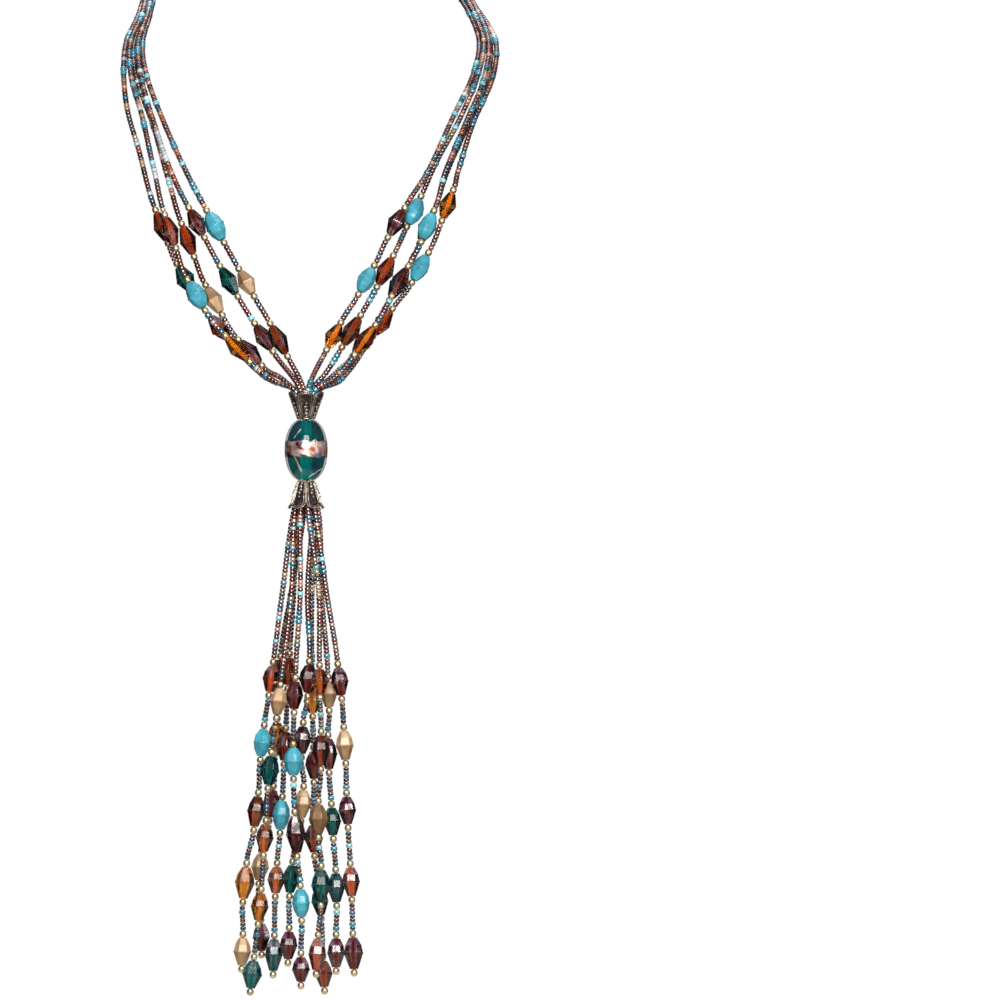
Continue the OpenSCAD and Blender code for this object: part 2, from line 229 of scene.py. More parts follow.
floor_radius, floor_drop = 0.32, 0.06
floor_place, floor_paint = finish_of("floor_paint", Roughness=0.9)
dress(floor_place,
      Base_Color=noise(floor_place, 6).pick((0.50, 0.50, 0.49), (0.54, 0.54, 0.53)))
floor_mesh = bmesh.new()
bmesh.ops.create_circle(floor_mesh, cap_ends=True, radius=floor_radius, segments=96,
                        matrix=Matrix.Translation((0, -0.07, cad_box[0].z - floor_drop)))
floor_data = mesh_of(floor_mesh, "floor")
floor_data.materials.append(floor_paint)
placed("floor", floor_data)


# Routes: ten threads leave the clasp, run down the chest through the upper cap, the large bead
# and the lower cap, and hang as the tassel. Each carries eight glass beads between brass balls
# and seed beads everywhere else. Millimetres, as the pieces are measured at the bench.
MM = 0.001
PER_SIDE = 5
STRINGS = 2 * PER_SIDE
SEED_D, THREAD_D, BALL_D, GLASS_LENGTH = 1.8, 0.5, 2.8, 11.0
FIT = 0.1
CAP_ROOM, RIM_ROOM, BORE_ROOM, COLLAR_ROOM = 0.5, 1.0, 0.3, 0.3

bead_low, bead_high = (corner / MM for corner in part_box("center_bead"))
upper_low, upper_high = (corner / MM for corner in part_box("upper_cap"))
clasp_low, clasp_high = (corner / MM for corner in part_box("clasp"))
BEAD_TOP, BEAD_BOTTOM, BEAD_BORE = bead_high.z, bead_low.z, 3.6
UPPER_RIM, LOWER_RIM = upper_high.z, (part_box("lower_cap")[0] / MM).z
CAP_HEIGHT = UPPER_RIM - upper_low.z
CAP_RIM, CAP_NECK, CAP_WALL = 14.6, 6.6, 0.6
DROP = Vector((0.5, -128))
CLASP_LENGTH = clasp_high.x - clasp_low.x
CLASP_D = clasp_high.z - clasp_low.z
CLASP_SOCKET, CLASP_THREAD = 4.0, 1.0

# The chest is (height, depth), and the collar is the middle of five strings behind the neck.
# A stop of NECK or TASSEL is (aside, height, forward of the chest or the drop), and where it
# carries a glass bead (turn, share of the full length) follow. Each row is one string.
CHEST = [(-240, -128), (-184, -127), (-165, -123), (-140, -117), (-115, -111), (-95, -105),
         (-75, -97), (-60, -90), (-50, -83), (-40, -74), (-28, -60)]
COLLAR = [(16, 3, 0), (33, -4, -3), (47, -17, -9), (56.5, -34, -16), (62.5, -52, -24)]
NECK = [
    [(-67.6, -34, 1.4), (-72.2, -45, 1.4), (-73, -56, 2), (-71.5, -71, 4), (-67, -87, 6),
     (-57.5, -118.5, 7, 30, 1.05), (-48, -139.5, 9, 10, 1), (-34.5, -159, 13, 20, 1),
     (-14, -180, 3.5)],
    [(-66.2, -34, -0.6), (-70.5, -45, 0), (-70, -58, 0), (-65.5, -74, 0), (-60.5, -96, 0),
     (-54, -120.5, 0, 60, 1.05), (-43.5, -146, 0, 10, 1.05), (-27, -167.5, 0, 40, 1.05),
     (-12.2, -180.5, -2)],
    [(-65.4, -34, 2.9), (-69, -45, 2.3), (-68, -58, 3), (-61, -78, 5), (-54.5, -101, 5),
     (-47, -124, 5, 70, 1.05), (-36.5, -148, 5, 60, 1), (-22, -169, 5, 60, 1.05), (-8.5, -180, 1)],
    [(-64, -34, -0.4), (-67.3, -45, 0.2), (-66, -58, 0.5), (-60, -79, 1.5), (-52.5, -99.5, 1),
     (-43.5, -117, 0, 60, 1), (-30.5, -140.5, 0, 30, 1.05), (-16.5, -163, -1, 60, 1)],
    [(-62.9, -34, 2.7), (-65.6, -45, 2.2), (-63.7, -58, 2.5), (-57, -76, 3), (-47, -98, 3),
     (-36, -118.5, 3, 10, 1.1), (-23.5, -141, 3, 50, 0.9), (-10.5, -164, 4, 60, 1.1)],
    [(67.4, -36, 2), (69.7, -45, 2), (67, -58, 2), (59, -75, 0.4), (48.8, -97, 0),
     (36.5, -117, -1, 60, 1), (24.5, -140, 0, 60, 0.95), (11.5, -162.5, 0, 30, 0.9)],
    [(69, -36, -0.6), (71.5, -45, -0.2), (69, -58, 0), (61.5, -76, 2.2), (52.3, -93, 3),
     (43.5, -112.5, 5, 10, 1), (32, -136.5, 3, 50, 1.05), (18.5, -160.5, 4, 50, 1.1),
     (8.5, -177, 3.7)],
    [(71, -36, -0.4), (73.5, -45, 0), (71.3, -60, 0.5), (64.2, -77, 0.8), (56, -97, 0),
     (49, -118.5, 0, 50, 1), (38, -140.5, 0, 50, 1), (24, -164, -1, 30, 1.1), (11.5, -179.5, -3)],
    [(69.7, -36, 3.2), (74, -45, 3), (73, -58, 3), (65.3, -77, 6), (56.6, -97, 9),
     (48.5, -119, 11, 60, 1), (37, -142, 12, 60, 1), (23, -165, 12, 50, 1), (11, -178.5, 5.5)],
    [(72.4, -36, 2.4), (76.4, -45, 1.2), (75.2, -58, 2), (67.2, -77, 3.5), (61, -97, 5),
     (57, -110, 5, 30, 0.95), (46, -135, 6, 40, 1), (31, -157, 7, 40, 1), (13.5, -180.5, 1)],
]
TASSEL = [
    [(-5, -33.5, 4.5), (-7, -65, 4, 40, 1), (-8.5, -95, 4, 20, 1.05), (-10, -122.5, 4, 60, 1.05),
     (-12, -148.5, 4, 50, 0.95), (-13, -178.5, 4, 60, 1.15)],
    [(-5.8, -33.5, -6.5), (-11, -77, -12, 70, 0.95), (-14.5, -104.5, -12, 10, 1.05),
     (-16.5, -131.5, -12, 60, 1), (-18.5, -159, -12, 60, 1), (-21.5, -186, -11, 0, 1)],
    [(-9.5, -33.5, -1), (-14, -68, -4, 40, 0.95), (-17.5, -93.5, -4, 30, 1),
     (-20, -121, -4, 60, 1.1), (-24.5, -149.5, -4, 0, 1.15), (-25.5, -177, -3, 60, 1)],
    [(-2.3, -33.5, -8.5), (-4.5, -74.5, -12, 70, 1), (-5, -101, -12, 10, 1),
     (-4, -130, -12, 0, 1.35), (-2, -157.5, -12, 60, 1), (-2, -184, -12, 60, 0.9)],
    [(-6.1, -33.5, 9), (-11, -66, 12, 20, 1), (-12, -91, 12, 40, 1), (-14, -118, 12, 30, 1),
     (-18.5, -143.5, 12, 60, 0.95), (-18, -171.5, 11, 30, 1)],
    [(5.1, -33.5, -9), (5.5, -69, -12, 20, 0.9), (6, -96.5, -12, 60, 1.1),
     (5, -124, -12, 10, 1.05), (6, -150.5, -12, 0, 1.15), (4.5, -178, -12, 60, 1.15)],
    [(0.5, -33.5, 1), (1, -68, -4, 0, 1), (-1.5, -92.5, -4, 50, 1), (-1.5, -118, -4, 50, 1),
     (-6, -148, -4, 40, 1), (-7, -174.5, -4, 60, 1)],
    [(8.2, -33.5, -7.5), (13.5, -69, -12, 60, 1), (15.5, -94.5, -12, 60, 1.05),
     (16.5, -120.5, -12, 50, 1), (18, -149, -12, 60, 1.05), (19, -177.5, -12, 10, 1.15)],
    [(2.3, -33.5, 3.5), (2.5, -77, 4, 60, 0.85), (3, -102.5, 4, 30, 1), (3, -132, 4, 20, 1),
     (5.5, -157, 4, 30, 1), (7, -186, 3, 60, 0.95)],
    [(6.1, -33.5, -1.5), (9, -74, -4, 60, 0.95), (9, -98, -4, 60, 1.1), (10.5, -125, -4, 50, 1),
     (12, -151.5, -4, 50, 1.05), (12, -177.5, -4, 60, 1.05)],
]
RING_SLOT = [6, 4, 5, 3, 7, 2, 8, 1, 9, 0]
RING_TURN = 9.0
BUNDLE_SLOT = [0, 1, 4, 2, 3, 0, 1, 2, 4, 3]


def in_ring(k, radius, z):
    """Where string k passes through the caps and the large bead, at height z."""
    angle = math.tau / STRINGS * RING_SLOT[k] + math.radians(RING_TURN)
    return Vector((DROP.x + radius * math.cos(angle), DROP.y - radius * math.sin(angle), z))


def ring_radius(count, diameter):
    """Radius of a ring in which so many strings of this diameter just clear each other."""
    return (diameter + FIT) / 2 / math.sin(math.pi / count)


def in_bundle(k, centre, way, radius):
    """Where string k lies among the five of its side that run the given way."""
    angle = math.tau / PER_SIDE * BUNDLE_SLOT[k]
    across = way.cross(Vector((0, 0, 1))).normalized()
    up = across.cross(way)
    return centre + radius * (math.cos(angle) * across + math.sin(angle) * up)


def chest_depth(z):
    for (low, y_low), (high, y_high) in zip(CHEST, CHEST[1:]):
        if low <= z <= high:
            return y_low + (y_high - y_low) * (z - low) / (high - low)
    return CHEST[0][1] if z < CHEST[0][0] else CHEST[-1][1]


def stop(place, turn=0, share=0, thin=False):
    """A stop: (place, half of its straight run, share, turn, only thread after it)."""
    half = GLASS_LENGTH * share / 2 + BALL_D + 2 * FIT if share else 0
    return place, half, share, turn, thin


def stations(k):
    """The stops of string k, from the clasp to the tip of the tassel."""
    side = -1 if k < PER_SIDE else 1
    way_out = Vector((side, 0, 0))
    seed_ring = ring_radius(STRINGS, SEED_D)
    seed_stop = CAP_HEIGHT * (seed_ring + SEED_D / 2 + CAP_WALL + CAP_ROOM - CAP_NECK / 2) \
        / ((CAP_RIM - CAP_NECK) / 2)
    rim_ring = CAP_RIM / 2 - CAP_WALL - SEED_D / 2 - RIM_ROOM
    thread_ring = (BEAD_BORE - THREAD_D) / 2 - BORE_ROOM
    socket_ring = ring_radius(PER_SIDE, THREAD_D)
    collar_ring = ring_radius(PER_SIDE, SEED_D + COLLAR_ROOM)
    found = []
    for x in (CLASP_LENGTH / 2 - CLASP_SOCKET + FIT, CLASP_LENGTH / 2 + CLASP_THREAD):
        socket = Vector((side * x, CLASP_D / 2, 0))
        found.append(stop(in_bundle(k, socket, way_out, socket_ring), thin=True))
    collar = [Vector((side * x, y, z)) for x, y, z in COLLAR]
    for i, place in enumerate(collar):
        ahead = collar[i + 1] - place if i < len(collar) - 1 else Vector()
        way = way_out if i == 0 else (place - collar[i - 1] + ahead).normalized()
        found.append(stop(in_bundle(k, place, way, collar_ring)))
    for aside, z, forward, *bead in NECK[k]:
        found.append(stop(Vector((aside, chest_depth(z) + forward, z)), *bead))
    found += [stop(in_ring(k, rim_ring, UPPER_RIM)),
              stop(in_ring(k, seed_ring, BEAD_TOP + FIT + seed_stop), thin=True),
              stop(in_ring(k, thread_ring, BEAD_TOP), thin=True),
              stop(in_ring(k, thread_ring, BEAD_BOTTOM), thin=True),
              stop(in_ring(k, seed_ring, BEAD_BOTTOM - FIT - seed_stop)),
              stop(in_ring(k, rim_ring, LOWER_RIM))]
    for aside, z, forward, *bead in TASSEL[k]:
        found.append(stop(Vector((DROP.x + aside, DROP.y + forward, LOWER_RIM + z)), *bead))
    return found


def heading(route, i):
    """The way in which a string runs through its stop i."""
    if i == 0:
        return (route[1][0] - route[0][0]).normalized()
    behind = (route[i][0] - route[i - 1][0]).normalized()
    if i == len(route) - 1:
        return behind
    return ((route[i + 1][0] - route[i][0]).normalized() + behind).normalized()


def curve_point(a, b, u):
    """Point at share u of the smooth curve from knot a to knot b, each (place, way, thin)."""
    reach = (b[0] - a[0]).length
    return ((2 * u**3 - 3 * u**2 + 1) * a[0] + (u**3 - 2 * u**2 + u) * reach * a[1]
            + (3 * u**2 - 2 * u**3) * b[0] + (u**3 - u**2) * reach * b[1])


def knots(route):
    """The route as (place, way, only thread after it), with both ends of each straight run."""
    found = []
    for i, (place, half, _, _, thin) in enumerate(route):
        way = heading(route, i)
        if half:
            found.append((place - half * way, way, True))
            found.append((place + half * way, way, False))
        else:
            found.append((place, way, thin))
    return found


def on_string(place, way, turn):
    """Matrix that stands a bead on its string, in metres."""
    across = way.cross(Vector((0, 1, 0))).normalized()
    out = way.cross(across)
    stand = Matrix((across, out, way)).transposed().to_4x4()
    return Matrix.Translation(place * MM) @ stand @ Matrix.Rotation(math.radians(turn), 4, "Z")


ROUTES = [stations(k) for k in range(STRINGS)]


# Seed beads: tiny rings of glass, round-edged, in bronze lustre with turquoise, dark teal iris
# and champagne gold among them. They are strung close together, so each string is one joined
# mesh of its seed beads, with the polyester thread that they hang on showing at the glass beads.
SEED_KINDS = {
    # letter: colour, metal share, diameter, length
    "b": ((0.135, 0.021, 0.008), 0.6, 2.25, 1.52),
    "k": ((0.026, 0.008, 0.007), 0.5, 2.25, 1.52),
    "c": ((0.38, 0.08, 0.025), 0.5, 2.25, 1.52),
    "p": ((0.52, 0.25, 0.18), 0.3, 2.25, 1.52),
    "n": ((0.42, 0.27, 0.12), 0.4, 2.25, 1.58),
    "o": ((0.40, 0.09, 0.012), 0.3, 2.25, 1.52),
    "g": ((0.085, 0.07, 0.085), 0.4, 2.2, 1.5),
    "w": ((0.46, 0.51, 0.56), 0.0, 2.2, 1.56),
    "a": ((0.18, 0.50, 0.56), 0.0, 2.6, 1.8),
    "t": ((0.016, 0.20, 0.29), 0.1, 2.65, 1.82),
    "q": ((0.010, 0.09, 0.18), 0.2, 2.4, 1.68),
    "d": ((0.004, 0.055, 0.07), 0.3, 2.25, 1.55),
    "v": ((0.012, 0.016, 0.06), 0.3, 2.25, 1.52),
}
# A number repeats its letter. A neck chart reads upward from the first glass bead and, after
# each slash, downward from the next one. A tassel chart reads downward from the large bead. The
# plain chart fills what they leave, and the hanging chart all below the tassel's first bead.
NECK_CHARTS = [
    "k q2 w g b4 k d n2 g k c2 a p n k g5 k n2 k q k c p c n d t2 k g w g p k g / b5 k"
    " / k v k v / k v2 k g v k2 v k v2",
    "p d b3 c k g2 w4 a d b q2 b5 t2 c n k w p2 k t d g a g p k g2 / b4 k b / t k w"
    " / q w n b t b2 k c q k b2 t",
    "b7 p2 w a w k n b3 p w p n k b4 t a p b c k q b n g a k g w g / b6 k b / k p d k c"
    " / b k b2 c k b3 n k b",
    "d3 q g b2 c b p c3 w9 p b3 c n k v a w b2 n k t k g w g / b5 d q / b5 a / b8 k b4 c b2",
    "p b t k a t2 g v d b2 a g b c2 t2 b6 c2 n d v a b2 n g k p g a g / b4 q v / k q b4 p"
    " / b4 k b3 c b2 k b2",
    "k c b2 k b n b g2 t k g p d2 k n c p a g2 b k p b g a g n a v t w n2",
    "b2 k b3 k b t v g b d2 k n g n2 a g2 k p b k o n c b t2 d g k t v d g p2 n",
    "b2 p b2 k b a k2 v2 k g c p k t3 k c b k g2 b k t d k b2 p k d a t p n",
    "g v w b p2 b k2 b v2 k v p c k q2 v k b k b2 g p k v a k p t2 k b2 p c n",
    "b4 p b t k t d g b5 k q2 v2 k b t2 k b3 c k q k b3 c k t k b2 t2 a n p",
]
TASSEL_CHARTS = [
    "b6 k b3 k b2 c b t b3 k b4 d b2 k b4 t b2 k b3 n b2 k b3 d b2 t",
    "b6 b p d w b2 c n w d p2 t q b3 p b2 k n q2 n b8 p b3 p b2 d2 b4 p b2",
    "b6 c b c d b3 a q v g d b3 n b t d g k d g q2 p a b2 p v2 a b",
    "b6 p2 a b8 a p3 d b p2 k a b3 v q t2 p b n b n t b2",
    "b6 k b2 p b3 k b2 d b3 c b2 k b3 t b2 k b4 p b2 k b3 d b2",
    "b6 q2 p t g3 b4 n g a n k d n2 p n b2 v p b4 g2 b3 g b3",
    "b6 w b c d3 c b w v2 c3 b2 d b11 t3 n q2 b",
    "b6 q k p b n2 b c2 v2 a v t2 k b7 q c d k b p k g d b2",
    "b6 q2 p t g3 b5 n g a n k d n2 k v q b12",
    "b6 k b3 c b2 k b3 d b2 t b2 k b4 c b3 k b2 n b3 k b2 t b2",
]
PLAIN_CHART = "b2 k d c b t2 k b q d b2 n g k b3 g b t2 a k b v c d q b k g p b"
HANGING_CHART = "k d t b k v q k b t d k b a k b d t k n b v t k b k d q k b"
NECK_RUNS = 4
FILL_TIMES = 4
SEED_BORE, SEED_ROUNDNESS = 0.7, 0.16
SEED_STEP, THREAD_STEP = 0.4, 2.5
SEED_TILT = 0.05
SEED_SIZES, SEED_CLOSENESS, SEED_SHADES = (0.95, 1.03), (0.94, 0.99), (0.6, 1.35)


def read_from(place, name, output="Color"):
    """What paint gave the vertices under this name."""
    return place.node("Attribute", {"attribute_name": name}, output)


def beads_named(chart):
    """The letters of a chart, with each number written out."""
    return [word[0] for word in chart.split() for _ in range(int(word[1:] or 1))]


def beads_for(chart, filler, total):
    """Letters of the beads that fill a stretch of this length, and the length that they take."""
    planned, plain = beads_named(chart), beads_named(filler)
    start = random.randrange(len(plain))
    planned += (plain[start:] + plain) * FILL_TIMES
    kinds, used = [], 0.0
    while used < total:
        kinds.append(planned[len(kinds)])
        used += SEED_KINDS[kinds[-1]][3]
    if used - total > SEED_KINDS[kinds[-1]][3] / 2 and len(kinds) > 1:
        used -= SEED_KINDS[kinds.pop()][3]
    return kinds, used


seed_place, seed_glass = finish_of(
    "seed_glass", Coat_Weight=1.0, Coat_Roughness=0.11, Coat_IOR=2.05)
seed_tint, seed_metal = read_from(seed_place, "tint"), read_from(seed_place, "metal", "Fac")
seed_cloud = noise(seed_place, 900, 3)
# Painted sheen: pinkish patches on the metal-lustred seeds are painted into their colour.
seed_painted_sheen = noise(seed_place, 320, 1).band(0.5, 0.7) * seed_metal
seed_colour = (seed_painted_sheen * 0.3).pick(seed_tint, (0.6, 0.35, 0.3))
dress(seed_place, Base_Color=seed_colour, Metallic=seed_metal,
      Roughness=seed_cloud * 0.16 + 0.2)

thread_place, thread_fibre = finish_of("thread_fibre", Roughness=0.7)
thread_twist = thread_place.node("TexWave", {"bands_direction": "DIAGONAL"}, "Fac",
                                 Vector=thread_place, Scale=900.0, Distortion=2.0)
dress(thread_place,
      Base_Color=thread_twist.pick((0.05, 0.035, 0.03), (0.12, 0.09, 0.075)))


def stamp(bm, mould, stand):
    """Adds a copy of the mould, moved by the matrix."""
    copy = mould.copy()
    copy.transform(stand)
    bm.from_mesh(copy)
    bpy.data.meshes.remove(copy)


def paint(piece, name, values):
    """Gives each vertex a number or a colour that its finish reads by name."""
    if hasattr(values[0], "__len__"):
        layer = piece.data.attributes.new(name, "FLOAT_COLOR", "POINT")
        layer.data.foreach_set("color", [part for colour in values for part in colour])
    else:
        piece.data.attributes.new(name, "FLOAT", "POINT").data.foreach_set("value", values)


def ring_bead(diameter, length, bore, sides, arc_steps, roundness):
    """A round bead with a bore, spun from half of its outline; roundness 1 gives a ball."""
    bm = bmesh.new()
    bulge = (diameter - bore) / 2
    outline = []
    for i in range(arc_steps + 1):
        angle = math.pi * (i / arc_steps - 0.5)
        outline.append(bm.verts.new(((bore / 2 + bulge * math.cos(angle) ** roundness) * MM, 0,
                                     length / 2 * math.sin(angle) * MM)))
    edges = [bm.edges.new(pair) for pair in zip(outline, outline[1:])]
    edges.append(bm.edges.new((outline[-1], outline[0])))
    bmesh.ops.spin(bm, geom=outline + edges, cent=(0, 0, 0), axis=(0, 0, 1), angle=math.tau,
                   steps=sides, use_merge=True)
    bmesh.ops.remove_doubles(bm, verts=bm.verts, dist=1e-7)
    bmesh.ops.recalc_face_normals(bm, faces=bm.faces)
    for face in bm.faces:
        face.smooth = True
    return bm


def runs_of(k):
    """The stretches of string k that carry seed beads, as close-set points in millimetres."""
    route = knots(ROUTES[k])
    found, current = [], []
    for a, b in zip(route, route[1:]):
        if a[2]:
            if current:
                found.append(current)
            current = []
            continue
        steps = max(2, int((b[0] - a[0]).length / SEED_STEP))
        current += [curve_point(a, b, i / steps) for i in range(1 if current else 0, steps + 1)]
    if current:
        found.append(current)
    return found


def sweep_thread(bm, points, diameter):
    """A six-sided thread or wire extruded ring by ring along the points."""
    def stand(i):
        way = (points[min(i + 1, len(points) - 1)] - points[max(i - 1, 0)]).normalized()
        return Matrix.Translation(points[i] * MM) @ way.to_track_quat("Z", "Y").to_matrix().to_4x4()

    last = stand(0)
    ring = bmesh.ops.create_circle(bm, cap_ends=True, radius=diameter / 2 * MM, segments=6,
                                   matrix=last)
    edges = list({edge for vert in ring["verts"] for edge in vert.link_edges})
    for i in range(1, len(points)):
        grown = bmesh.ops.extrude_edge_only(bm, edges=edges)["geom"]
        verts = [part for part in grown if isinstance(part, bmesh.types.BMVert)]
        edges = [part for part in grown if isinstance(part, bmesh.types.BMEdge)]
        bmesh.ops.transform(bm, matrix=stand(i) @ last.inverted(), verts=verts)
        last = stand(i)
    bmesh.ops.contextual_create(bm, geom=edges)


def new_piece(name, bm, materials, node):
    """Turns a finished bmesh into a piece that rides on the root body in place of a CAD node."""
    mesh = mesh_of(bm, name)
    piece = placed(name, mesh)
    for material in materials:
        mesh.materials.append(material)
    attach(piece, "root")
    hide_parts(node)
    return piece


random.seed(7)
seed_moulds = {
    kind: mesh_of(ring_bead(diameter, length, SEED_BORE, 12, 6, SEED_ROUNDNESS), "seed_" + kind)
    for kind, (colour, metal, diameter, length) in SEED_KINDS.items()}
for k in range(STRINGS):
    bm = bmesh.new()
    tints, metals = [], []
    charts = dict(enumerate(NECK_CHARTS[k].split("/")))
    charts[NECK_RUNS] = TASSEL_CHARTS[k]
    for number, run in enumerate(runs_of(k)):
        chart = charts.get(number, "")
        lengths = [0.0]
        for a, b in zip(run, run[1:]):
            lengths.append(lengths[-1] + (b - a).length)
        filler = HANGING_CHART if number > NECK_RUNS else PLAIN_CHART
        kinds, used = beads_for(chart, filler, lengths[-1])
        if number == 0:
            kinds.reverse()
        squeeze = lengths[-1] / used
        along, step = 0.0, 0
        for kind in kinds:
            colour, metal, diameter, length = SEED_KINDS[kind]
            middle = along + length * squeeze / 2
            along += length * squeeze
            while step < len(lengths) - 2 and lengths[step + 1] < middle:
                step += 1
            share = (middle - lengths[step]) / (lengths[step + 1] - lengths[step])
            place = run[step].lerp(run[step + 1], share)
            way = (run[min(step + 2, len(run) - 1)] - run[max(step - 1, 0)]).normalized()
            tilt = Euler([random.gauss(0, SEED_TILT) for _ in range(3)]).to_matrix().to_4x4()
            size = random.uniform(*SEED_SIZES)
            shape = Matrix.Diagonal((size, size, squeeze * random.uniform(*SEED_CLOSENESS), 1))
            stood = on_string(place, way, random.uniform(0, 36)) @ tilt @ shape
            stamp(bm, seed_moulds[kind], stood)
            shade = random.uniform(*SEED_SHADES)
            count = len(seed_moulds[kind].vertices)
            tints += [(*[min(1, part * shade) for part in colour], 1)] * count
            metals += [metal] * count
    bead_faces, bead_verts = len(bm.faces), len(bm.verts)
    thread = []
    route = knots(ROUTES[k])
    for a, b in zip(route, route[1:]):
        steps = 1 if a[2] else max(1, int((b[0] - a[0]).length / THREAD_STEP))
        thread += [curve_point(a, b, i / steps) for i in range(steps)]
    thread.append(route[-1][0])
    sweep_thread(bm, thread, THREAD_D)
    bm.faces.ensure_lookup_table()
    for face in bm.faces[bead_faces:]:
        face.material_index = 1
    tints += [(0.1, 0.07, 0.06, 1)] * (len(bm.verts) - bead_verts)
    metals += [0.0] * (len(bm.verts) - bead_verts)
    piece = new_piece(f"seed_string_{k + 1}", bm, [seed_glass, thread_fibre],
                      f"string_{k + 1}")
    paint(piece, "tint", tints)
    paint(piece, "metal", metals)
for mould in seed_moulds.values():
    bpy.data.meshes.remove(mould)


# Brass balls: satin brass, one at each end of every glass bead, drilled for the thread. Wear
# leaves them brighter in some patches and a little tarnished in others.
BORE_D = 1.0
brass_place, brass = finish_of("satin_brass", Metallic=1.0)
brass_rub = noise(brass_place, 700, 3)
brass_tarnish = noise(brass_place, 180, 2).band(0.5, 0.72)
dress(brass_place, Roughness=brass_rub * 0.08 + 0.38,
      Base_Color=brass_tarnish.pick((0.74, 0.60, 0.37), (0.60, 0.46, 0.25)))
ball_mould = mesh_of(ring_bead(BALL_D, BALL_D, BORE_D, 16, 10, 1), "ball")
for k in range(STRINGS):
    bm = bmesh.new()
    for i, (place, half, _, turn, _) in enumerate(ROUTES[k]):
        way = heading(ROUTES[k], i)
        for end in (-1, 1) if half else ():
            centre = place + end * (half - FIT - BALL_D / 2) * way
            stamp(bm, ball_mould, on_string(centre, way, turn))
    new_piece(f"ball_set_{k + 1}", bm, [brass], f"brass_balls_{k + 1}")
bpy.data.meshes.remove(ball_mould)


# Glass beads: long six-sided beads of clear, lustred and opaque glass, ground flat at both ends
# and fire-polished so that their edges are soft. The drilled hole is lined with a painted glow,
# so that it shows as a bright line down the middle of a clear bead, and the halves of each bead
# are tinted apart with painted light and shade. Each sits between two brass balls.
GLASS_WIDE, GLASS_THICK, GLASS_TIP = 8.0, 6.0, 2.8
GLASS_SEAM, SEAM_STEP = 0.4, 0.12
TIP_SPREAD, EDGE_SOFT = 1.22, 0.2
HOLE_RADIUS, HOLE_SHORT = 0.62, 0.05
FACETED, ROUNDED = 0.52, 0.72
SHOULDER_EXTRA, SHOULDER_MOST = 0.2, 0.8
GILT_METAL = 0.15
GLASS_KINDS = {
    # name: tone of the glass above and below the middle, set apart by painted light and shade
    # (swapped on the neck), drilled hole's painted glow, lustre, opaque (1 satin, 2 gilt)
    "amber": ((0.62, 0.21, 0.03), (0.82, 0.34, 0.03), (0.90, 0.42, 0.07), 0.15, 0),
    "amber_ab": ((0.42, 0.10, 0.04), (0.64, 0.18, 0.015), (0.75, 0.32, 0.06), 0.6, 0),
    "red": ((0.32, 0.04, 0.015), (0.62, 0.11, 0.012), (0.70, 0.22, 0.04), 0.3, 0),
    "brown": ((0.19, 0.04, 0.02), (0.42, 0.09, 0.015), (0.55, 0.18, 0.04), 0.4, 0),
    "pink": ((0.62, 0.20, 0.17), (0.80, 0.16, 0.03), (0.55, 0.25, 0.16), 0.7, 0),
    "amethyst": ((0.16, 0.022, 0.055), (0.21, 0.032, 0.02), (0.35, 0.08, 0.06), 0.5, 0),
    "amethyst_ab": ((0.16, 0.03, 0.07), (0.22, 0.035, 0.015), (0.38, 0.11, 0.06), 1.0, 0),
    "plum": ((0.07, 0.011, 0.022), (0.13, 0.018, 0.015), (0.22, 0.04, 0.04), 0.8, 0),
    "teal": ((0.008, 0.15, 0.14), (0.008, 0.23, 0.21), (0.03, 0.26, 0.24), 0.1, 0),
    "teal_ab": ((0.012, 0.10, 0.12), (0.01, 0.15, 0.16), (0.04, 0.24, 0.24), 0.6, 0),
    "turquoise": ((0.06, 0.42, 0.55), (0.05, 0.35, 0.47), (0.02, 0.3, 0.4), 0.0, 1),
    "cream": ((0.68, 0.45, 0.26), (0.40, 0.235, 0.12), (0.4, 0.3, 0.2), 0.0, 2),
    "gold": ((0.25, 0.13, 0.045), (0.19, 0.09, 0.03), (0.3, 0.2, 0.1), 0.0, 2),
}
GLASS_ROWS = [
    # one string each, from the clasp down: on the neck / in the tassel
    "brown teal red / brown amethyst_ab turquoise amber_ab teal_ab",
    "pink turquoise amber / cream teal amber_ab amber teal",
    "red cream amethyst_ab / pink turquoise brown amber cream",
    "amethyst_ab teal amethyst / amethyst turquoise plum turquoise amethyst",
    "turquoise cream brown / plum amber amethyst cream plum",
    "amethyst_ab turquoise amber / amber_ab brown gold teal pink",
    "turquoise red brown / amethyst plum cream teal amethyst",
    "turquoise amethyst_ab amber / amethyst_ab cream amethyst_ab pink amethyst",
    "amber teal amethyst / amber amethyst_ab brown teal brown",
    "amber turquoise red / cream amethyst_ab teal teal_ab amethyst_ab",
]

clear_place, clear_glass = finish_of(
    "clear_glass", Transmission_Weight=1.0, IOR=1.32, Coat_Roughness=0.12)
# Lustre patches take rainbow tones and a coat; the lustre the vertices carry is painted weaker on
# one half of each bead, so part of it is a painted reflection.
clear_patch = noise(clear_place, 260, 2).band(0.42, 0.60) * read_from(clear_place, "lustre", "Fac")
clear_rainbow = noise(clear_place, 150, 1).band(0.4, 0.6)
clear_rainbow = clear_rainbow.pick((0.66, 0.58, 0.80), (0.80, 0.60, 0.58))
dress(clear_place, Metallic=clear_patch * 0.05, Coat_Weight=clear_patch,
      Base_Color=clear_patch.pick(read_from(clear_place, "tint"), clear_rainbow),
      Roughness=0.06 + noise(clear_place, 160, 1) * 0.14)

